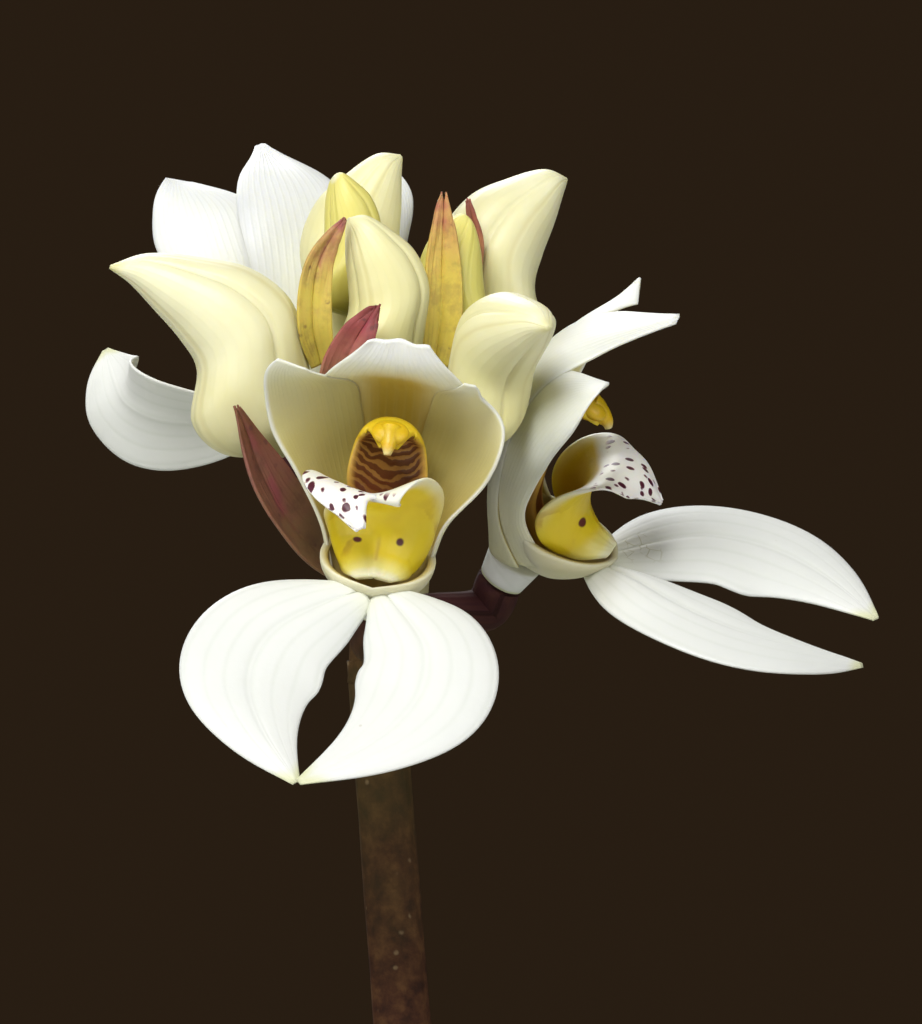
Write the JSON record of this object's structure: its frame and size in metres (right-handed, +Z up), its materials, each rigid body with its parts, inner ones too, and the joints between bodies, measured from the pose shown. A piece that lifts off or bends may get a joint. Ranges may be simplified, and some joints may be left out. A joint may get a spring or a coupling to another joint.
{
  "type": "potted orchid",
  "caption": "Potted Govenia orchid: a crowded head of white hooded blooms and cream buds on a tall purple scape, with broad pleated leaves in a clay pot.",
  "frame": {"origin": "middle of the pot's flat underside, the face it stands on", "axes": "+Z up along the pot; -Y towards the side that the front bloom faces; +X to the right seen from there"},
  "size_m": [0.2856, 0.2036, 0.4401],
  "materials": {
    "terracotta": "matte",
    "potting_soil": "matte",
    "dry_sheath": "satin",
    "stem": "satin",
    "leaf": "satin",
    "tepal": "satin",
    "lip": "satin",
    "column": "satin",
    "bud": "satin",
    "bract_dark": "satin",
    "bract_crimson": "satin",
    "bract_yellow": "satin"
  },
  "bodies": {
    "root": {"pot": "terracotta", "soil": "potting_soil", "leaf_sheath": "dry_sheath", "scape": "stem", "leaf_left": "leaf", "leaf_right": "leaf", "scape_sheath_1": "dry_sheath", "scape_sheath_2": "dry_sheath", "scape_sheath_3": "dry_sheath", "bloom_front_tepals": "tepal", "bloom_front_lip": "lip", "bloom_front_column": "column", "bloom_right_tepals": "tepal", "bloom_right_lip": "lip", "bloom_right_column": "column", "bloom_back_left_tepals": "tepal", "bloom_back_left_lip": "lip", "bloom_back_left_column": "column", "bud_left": "bud", "bud_right": "bud", "bud_centre": "bud", "bud_behind_left": "bud", "bud_behind_right": "bud", "bud_far_right": "bud", "bud_behind_centre": "bud", "bud_low_back": "bud", "bract_lower_left": "bract_dark", "bract_crimson": "bract_crimson", "bract_curled": "bract_yellow", "bract_forked": "bract_yellow", "bract_slim": "bract_yellow"}
  },
  "joints": []
}
